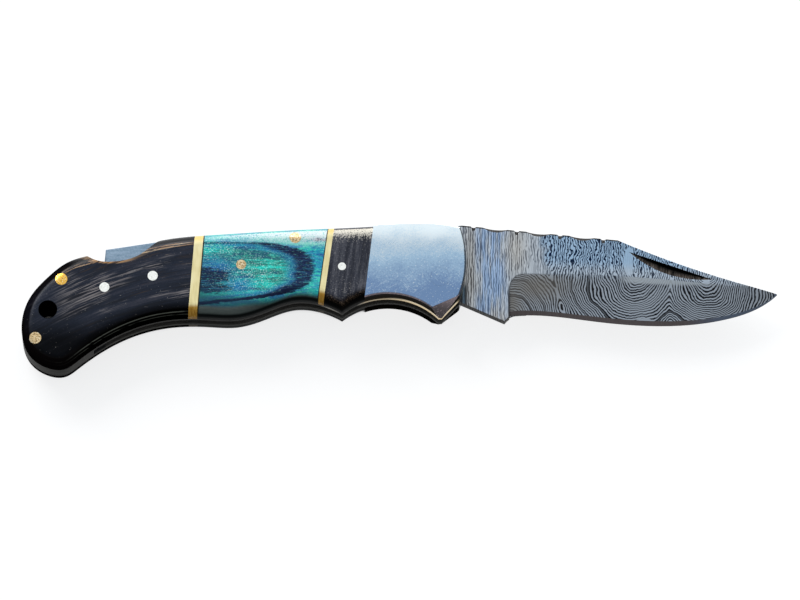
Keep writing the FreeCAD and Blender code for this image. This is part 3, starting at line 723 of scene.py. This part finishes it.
def dark_front_wood():
    """The same laminate, with lines across the handle, dust specks thick along its top, and painted shade
    under its belly with brown specks on the lower rounding.
    """
    g = Material("dark_front_wood")
    lean = g.joined(g.less(g.x, g.times(GRAIN_LEAN, g.y)), g.y, g.z)
    broad = g.noise((0.7, 0.05, 0.3), detail=3.0, roughness=0.6, place=lean)
    fine = g.noise((2.6, 0.2, 1.2), detail=3.0, roughness=0.65, offset=3.0, place=lean)
    dust = g.noise((3.6, 3.0, 3.6), roughness=0.7, offset=1.0)
    colour = g.ramp(g.add(g.times(0.7, broad), g.times(0.3, dust)), *GREY_WOOD_STOPS)
    colour = g.paint(colour, GREY_LINE, 0.5, g.smooth(fine, 0.55, 0.72))
    upper = g.times(g.smooth(g.y, *DUSTY_TOP), g.smooth(g.normal[1], 0.85, 0.6))
    dusted = g.add(dust, g.times(0.37, upper), g.times(0.07, g.dome(*DUSTY_SPOT)))
    colour = g.paint(colour, g.tones(upper, DUST_TONES, 0.3, 0.9), 0.85, g.smooth(dusted, 0.66, 0.76))
    belly = g.smooth(g.normal[1], -0.1, -0.55)
    foot = g.times(g.band(g.normal[1], -0.4, 0.35), g.smooth(dust, 0.48, 0.66))
    # Painted shade under the belly.
    colour = g.mix(belly, colour, g.mix(foot, *BELLY_SHADE_AND_BROWN_TONES))
    g.bump(fine, depth=0.03, strength=0.4)
    return g.finish(colour, g.blend(fine, 0.45, 0.32), specular_ior_level=g.blend(belly, 0.2, 0.006),
                    coat_weight=g.blend(belly, 0.12, 0.0), coat_roughness=0.12)


# Centre scale: the navy ring's middle, half length, rise, drop and squareness
RING_MIDDLE = (-56.0, 1.4)
RING_HALF = 22.9
RING_RISE = 7.4
RING_DROP = 2.8
RING_DROP_SLOPE = 0.09
RING_POWER = 3.2

# Centre scale: spots of other colours, and fades along and across it
GREEN_SPOT = (-42.8, 3.0, 4.5, 1.8)
BLUE_REAR_SPOT = (-56.5, 1.6, 4.0, 2.6)
BLUE_LOW_SPOT = (-50.5, -2.2, 3.0, 1.6)
BLOT_SPOTS = ((1.0, (-58.0, 0.3, 4.6, 1.6)), (0.9, (-57.5, -3.2, 4.8, 0.8)), (0.9, (-30.3, 9.7, 2.6, 0.5)))
SPARKLING_SPOTS = ((-47.0, 0.6, 5.0, 3.2), (-57.0, 7.2, 5.0, 1.8))
FORE_START = (-50.0, -38.0)
REAR_WALL_START = (-42.0, -52.0)
FORE_WALL_START = (-50.0, -42.0)
FADED_RISE = (4.0, 7.0)
TOP_SLOPE = 0.06
TOP_RISE = (5.0, 9.2)
MINT_RISE = (5.2, 7.0)
LOW_SLOPE = 0.12
LOW_START = (-9.2, -12.8)
LOWER_LINE_TOP = (-1.0, -3.0)

# Centre scale: colours of the dyed wood, and of the painted shade, sheen, glints and highlight on it
TEAL_STOPS = ((0.36, (0.006, 0.10, 0.30)), (0.44, (0.008, 0.30, 0.42)), (0.51, (0.015, 0.50, 0.42)),
              (0.62, (0.10, 0.70, 0.50)))
GREEN_STOPS = ((0.36, (0.004, 0.09, 0.15)), (0.45, (0.020, 0.21, 0.17)), (0.53, (0.020, 0.42, 0.33)),
               (0.61, (0.004, 0.68, 0.56)))
BLUE_DYE = (0.006, 0.13, 0.42)
INNER_BLUE = (0.004, 0.075, 0.25)
NAVY_TONES = ((0.002, 0.003, 0.018), (0.012, 0.022, 0.10))
TEAL_HAIR = (0.04, 0.5, 0.55)
MINT_FLECK = (0.16, 0.74, 0.62)
DARK_FLECK = (0.002, 0.04, 0.07)
MINT_SPARKLE = (0.30, 0.82, 0.72)
MINT_TONES = ((0.11, 0.40, 0.44), (0.34, 0.76, 0.62))
SILVER_HIGHLIGHT = (0.80, 0.80, 0.82)
PALE_SPARKLE = (0.56, 0.76, 0.76)
LOW_TEAL = (0.003, 0.045, 0.06)
LOWER_NAVY = (0.002, 0.006, 0.03)
DYED_WALL_SHADE_AND_SHEEN_TONES = ((0.003, 0.005, 0.005), (0.125, 0.15, 0.14))
GLUE = (0.012, 0.014, 0.01)


def joint_gap(g, reach, lean):
    """How far a place lies behind a leaning joint."""
    return g.less(g.times(math.tan(math.radians(lean)), g.y), g.add(g.x, reach))


class DyedWood:
    """The noises of the dyed wood, and its ring: 1 on the long navy ring, less inside it and more outside."""

    def __init__(self, g):
        self.wander = g.noise((0.06, 0.16, 0.1), detail=3.0, roughness=0.55, offset=1.7)
        self.grain = g.noise((0.13, 1.1, 0.9), detail=4.0, roughness=0.62, distortion=0.4)
        self.hair = g.noise((0.35, 4.0, 2.0), roughness=0.6, offset=5.5)
        self.flecks = g.noise((0.8, 2.6, 2.6), detail=3.0, roughness=0.7, offset=3.3)
        self.sparkle = g.noise((2.8, 3.0, 2.8), roughness=0.75, offset=8.0)
        middle_x, middle_y = RING_MIDDLE
        along = g.math("ABSOLUTE", g.math("DIVIDE", g.less(g.x, middle_x), RING_HALF))
        rise = g.less(g.y, middle_y)
        over = g.math("DIVIDE", rise, RING_RISE)
        under = g.math("DIVIDE", g.times(-1.0, rise), g.less(RING_DROP, g.times(RING_DROP_SLOPE, g.x)))
        powers = [g.math("POWER", part, RING_POWER) for part in (along, g.most(over, under))]
        ring = g.math("POWER", g.add(*powers), 1 / RING_POWER)
        self.ring = g.add(ring, g.times(0.10, g.swing(self.wander)), g.times(0.13, g.swing(self.grain)),
                          g.times(0.12, g.swing(self.flecks)))
        tone = g.add(g.times(0.72, self.grain), g.times(0.5, self.wander), g.times(0.4, self.flecks), -0.31)
        self.tone = g.add(tone, g.times(0.07, g.dome(*GREEN_SPOT)))
        self.fore = g.smooth(g.x, *FORE_START)


def dyed_grain(g, wood):
    """Green inside the ring and teal outside it, with blue streaks beside it."""
    ring = wood.ring
    teal, green = g.ramp(wood.tone, *TEAL_STOPS), g.ramp(wood.tone, *GREEN_STOPS)
    colour = g.mix(g.smooth(ring, 0.95, 0.7), teal, green)
    beside = g.times(g.smooth(ring, 0.72, 0.9), g.smooth(ring, 1.4, 1.1), g.smooth(wood.grain, 0.46, 0.58))
    behind = g.times(g.dome(*BLUE_REAR_SPOT), g.smooth(wood.grain, 0.34, 0.48))
    colour = g.paint(colour, BLUE_DYE, 0.85, g.most(beside, behind, g.times(0.9, g.dome(*BLUE_LOW_SPOT))))
    inner = g.times(wood.fore, g.smooth(ring, 0.68, 0.92), g.smooth(ring, 1.1, 1.0))
    return g.paint(colour, INNER_BLUE, 0.9, inner)


def navy_places(g, wood):
    """1 on the navy ring, which is faded at its upper rear, and on the dark blots."""
    faded = g.times(0.45, g.smooth(g.y, *FADED_RISE), g.rest(wood.fore))
    navy = g.most(g.band(wood.ring, 1.0, 0.11), g.times(wood.fore, g.band(wood.ring, 0.96, 0.16)))
    navy = g.times(navy, g.rest(faded))
    blots = g.add(*[g.times(strength, g.dome(*spot)) for strength, spot in BLOT_SPOTS])
    blots = g.add(blots, g.times(1.4, g.swing(wood.flecks)), g.times(1.6, g.swing(wood.grain)))
    return g.most(g.smooth(navy, 0.05, 0.75), g.smooth(blots, 0.3, 0.6))


def dyed_specks(g, wood, dark, colour):
    """Hairs and flecks, painted glints that are thick at the pins, and the mint upper edge with a painted
    silver highlight.
    """
    sparkle = wood.sparkle
    colour = g.paint(colour, TEAL_HAIR, 0.22, g.smooth(wood.hair, 0.54, 0.7))
    colour = g.paint(colour, MINT_FLECK, 0.35, g.smooth(wood.flecks, 0.58, 0.7))
    colour = g.paint(colour, DARK_FLECK, 0.35, g.smooth(sparkle, 0.46, 0.36))
    near_pin = g.domes(SPARKLING_SPOTS)
    # Painted glints.
    bright = g.times(g.smooth(sparkle, 0.54, 0.63), g.blend(near_pin, 0.14, 0.5), g.blend(dark, 1.0, 0.2))
    colour = g.mix(bright, colour, MINT_SPARKLE)
    on_face = g.smooth(g.normal[1], 0.85, 0.6)
    from_top = g.add(g.y, g.times(TOP_SLOPE, g.x))
    upper = g.times(g.smooth(from_top, *TOP_RISE), on_face)
    mint = g.times(g.smooth(from_top, *MINT_RISE), g.rest(dark), on_face)
    colour = g.paint(colour, g.tones(wood.tone, MINT_TONES, 0.40, 0.60), 0.7, mint)
    # Painted silver highlight along the upper edge and at the pins.
    silver = g.smooth(g.add(sparkle, g.times(0.21, upper)), 0.56, 0.66)
    silver = g.times(silver, g.most(upper, g.times(0.65, near_pin)))
    colour = g.paint(colour, SILVER_HIGHLIGHT, 0.8, silver)
    # Painted glints.
    return g.paint(colour, PALE_SPARKLE, 0.5, g.smooth(sparkle, 0.67, 0.74))


def blue_green_wood():
    """Dyed wood: a long navy ring with green inside and teal outside, streaks, specks, dark glue lines,
    painted shade and sheen under the belly, painted glints and a painted silver highlight.
    """
    g = Material("blue_green_wood")
    wood = DyedWood(g)
    dark = navy_places(g, wood)
    colour = g.paint(dyed_grain(g, wood), g.tones(wood.hair, NAVY_TONES, 0.38, 0.66), 0.96, dark)
    colour = dyed_specks(g, wood, dark, colour)
    low = g.smooth(g.add(g.y, g.times(LOW_SLOPE, g.x)), *LOW_START)
    colour = g.paint(colour, LOW_TEAL, 0.85, low)
    lower_line = g.times(g.smooth(g.band(wood.ring, 1.0, 0.09), 0.1, 0.7), g.smooth(g.y, *LOWER_LINE_TOP))
    colour = g.paint(colour, LOWER_NAVY, 0.9, lower_line)
    belly = g.smooth(g.add(g.normal[1], g.times(0.38, g.smooth(g.x, *FORE_WALL_START))), -0.1, -0.45)
    sheen = g.times(g.smooth(g.facing(), 0.45, 0.7), g.blend(wood.flecks, 0.5, 1.0),
                    g.blend(g.smooth(g.x, *REAR_WALL_START), 0.6, 1.0))
    # Painted shade under the belly, with a painted sheen.
    colour = g.mix(belly, colour, g.mix(sheen, *DYED_WALL_SHADE_AND_SHEEN_TONES))
    front_glue = g.smooth(joint_gap(g, FRONT_SPACER_BACK, FRONT_SPACER_LEAN), 0.35, 0.15)
    rear_glue = g.smooth(joint_gap(g, REAR_SPACER_REACH, REAR_SPACER_LEAN), -0.45, -0.2)
    colour = g.mix(g.most(front_glue, rear_glue), colour, GLUE)
    g.bump(g.add(wood.grain, g.times(0.4, wood.hair)), depth=0.02, strength=0.35)
    gloss = g.times(g.rest(belly), g.blend(dark, 1.0, 0.5))
    return g.finish(colour, g.blend(wood.grain, 0.4, 0.3), specular_ior_level=g.blend(gloss, 0.006, 0.25),
                    coat_weight=g.times(0.15, gloss), coat_roughness=0.1)


# Spacers: bone colours, the golden top of the rear one, and the amber foot, partly a painted warm reflection,
# in painted shade on the far side
BONE_STOPS = ((0.3, (0.62, 0.51, 0.22)), (0.5, (0.82, 0.71, 0.37)), (0.7, (0.93, 0.85, 0.53)))
GOLDEN_BONE = (0.80, 0.56, 0.20)
GOLDEN_RISE = (8.6, 10.2)
REAR_SPACER_START = (-50.0, -55.0)
AMBER_AND_WARM_REFLECTION_TONES = ((0.34, 0.15, 0.015), (0.62, 0.36, 0.07))
FAR_FOOT_SHADE = (0.05, 0.036, 0.016)


def pale_spacer():
    """Polished bone: cream, with fine lengthwise marrow lines, amber where it rounds under, partly a painted
    warm reflection, in painted shade on the far side.
    """
    g = Material("pale_spacer")
    lines = g.noise((2.8, 0.22, 1.0), detail=3.0, roughness=0.6)
    cloud = g.noise((0.3, 0.16, 0.3), offset=2.0)
    colour = g.ramp(g.add(g.times(0.45, lines), g.times(0.55, cloud)), *BONE_STOPS)
    rear_top = g.times(0.8, g.smooth(g.y, *GOLDEN_RISE), g.smooth(g.x, *REAR_SPACER_START))
    colour = g.mix(g.most(g.smooth(g.normal[1], 0.15, 0.6), rear_top), colour, GOLDEN_BONE)
    foot = g.smooth(g.normal[1], -0.1, -0.45)
    # Amber, partly a painted warm reflection, with painted shade on the far side.
    amber = g.tones(lines, AMBER_AND_WARM_REFLECTION_TONES, 0.3, 0.7)
    amber = g.paint(amber, FAR_FOOT_SHADE, g.smooth(g.z, MIDDLE_LEVEL, MIDDLE_LEVEL - 1.0))
    colour = g.mix(foot, colour, amber)
    g.bump(lines, depth=0.02, strength=0.3)
    return g.finish(colour, g.blend(lines, 0.4, 0.3), specular_ior_level=g.blend(foot, 0.3, 0.02),
                    coat_weight=g.blend(foot, 0.15, 0.0), coat_roughness=0.15)


def dress():
    """Gives each node of the solids its material."""
    by_slot = {"layered_steel": layered_steel(),
               "polished_steel": polished_steel(),
               "spring_steel": brushed_steel("spring_steel", SPRING_STEEL, (0.3, 1.6, 0.5), SPRING_GROOVE_SHADE),
               "liner_steel": brushed_steel("liner_steel", LINER_STEEL, (0.2, 1.5, 2.5), LINER_GROOVE_HIGHLIGHT),
               "pin_brass": pin_metal("pin_brass", BRASS, 0.3, 0.85, BUTT_BRASS),
               "pin_nickel": pin_metal("pin_nickel", NICKEL, 0.42, 0.12, BUTT_NICKEL),
               "blue_green_wood": blue_green_wood(),
               "pale_spacer": pale_spacer()}
    front, rear = dark_front_wood(), dark_rear_wood()
    for row in frame["record"]["subparts"]:
        node = row["node"]
        wood = front if "front_scale" in node else rear
        frame["nodes"][node].material_slots[0].material = by_slot.get(row["material_slot"], wood)


def make_bending_spring():
    """The back spring once more, cut across its leaf into short lengths, with the original spring hidden."""
    spring = bpy.data.objects.new("bending_back_spring", frame["nodes"]["back_spring"].data.copy())
    bpy.context.scene.collection.objects.link(spring)
    mesh = bmesh.new()
    mesh.from_mesh(spring.data)
    bmesh.ops.remove_doubles(mesh, verts=mesh.verts, dist=WELD * MM)
    for cut in range(LEAF_CUTS):
        place = (LEAF_ROOT + (LEAF_TIP - LEAF_ROOT) * cut / (LEAF_CUTS - 1)) * MM
        whole = mesh.verts[:] + mesh.edges[:] + mesh.faces[:]
        bmesh.ops.bisect_plane(mesh, geom=whole, plane_co=(place, 0, 0), plane_no=(1, 0, 0))
    mesh.to_mesh(spring.data)
    mesh.free()
    old_normals = spring.data.attributes.get("custom_normal")
    if old_normals:
        spring.data.attributes.remove(old_normals)
    spring.data.set_sharp_from_angle(angle=math.radians(LEAF_CORNER))
    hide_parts("back_spring")
    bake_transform(spring)


def make_floor():
    """A white floor that keeps the knife's shadow and stays dark where little sky reaches it."""
    mesh = bpy.data.meshes.new("floor")
    corners = [(x * FLOOR_HALF, y * FLOOR_HALF, 0) for x, y in ((-1, -1), (1, -1), (1, 1), (-1, 1))]
    mesh.from_pydata(corners, [], [(0, 1, 2, 3)])
    floor = bpy.data.objects.new("floor", mesh)
    bpy.context.scene.collection.objects.link(floor)
    g = Material("floor")
    rays = g.node("LightPath").outputs
    seen = g.most(rays["Is Camera Ray"], rays["Is Glossy Ray"], rays["Is Transmission Ray"])
    open_sky = g.node("AmbientOcclusion")
    open_sky.inputs["Distance"].default_value = OPEN_SKY_REACH * MM
    glow = g.times(FLOOR_GLOW, seen, g.smooth(open_sky.outputs["AO"], *OPEN_SKY_FADE))
    mesh.materials.append(g.finish(FLOOR_GREY, FLOOR_ROUGHNESS, specular_ior_level=0.0, emission_color=WHITE,
                                   emission_strength=glow))


def make_world():
    """Soft light all round, a little blue overhead, bright on the spine's side and dim on the belly's."""
    world = bpy.data.worlds.new("studio")
    bpy.context.scene.world = world
    g = Graph(world)
    towards_spine = g.parts(g.node("TexCoord").outputs["Generated"])[1]
    colour = g.ramp(g.add(0.5, g.times(0.5, towards_spine)), *SKY)
    g.put(g.tree.nodes["Background"].inputs["Color"], colour)


def make_lamp(name, place, size, power, colour):
    """A square soft lamp, in metres and watts, aimed at the knife."""
    light = bpy.data.lights.new(name, "AREA")
    light.size = size
    light.energy = power
    light.color = colour
    lamp = bpy.data.objects.new(name, light)
    lamp.location = place
    lamp.rotation_euler = (-Vector(place)).to_track_quat("-Z", "Y").to_euler()
    bpy.context.scene.collection.objects.link(lamp)


def make_camera():
    """A long lens at the photograph's angle, so far away that its picture is VIEW_WIDTH wide."""
    data = bpy.data.cameras.new("camera")
    data.lens = CAMERA_LENS
    data.sensor_width = SENSOR_WIDTH
    camera = bpy.data.objects.new("camera", data)
    tilt = math.radians(VIEW_ELEVATION)
    distance = VIEW_WIDTH * CAMERA_LENS / SENSOR_WIDTH
    back = Vector((0, -math.cos(tilt), math.sin(tilt))) * distance
    camera.location = (Vector(VIEW_TARGET) + back) * MM
    camera.rotation_euler = (math.pi / 2 - tilt, 0, 0)
    bpy.context.scene.collection.objects.link(camera)
    bpy.context.scene.camera = camera


bpy.context.scene.view_settings.view_transform = "Standard"
make_camera()
make_floor()
make_world()
for lamp in LAMPS:
    make_lamp(*lamp)
dress()
make_bending_spring()
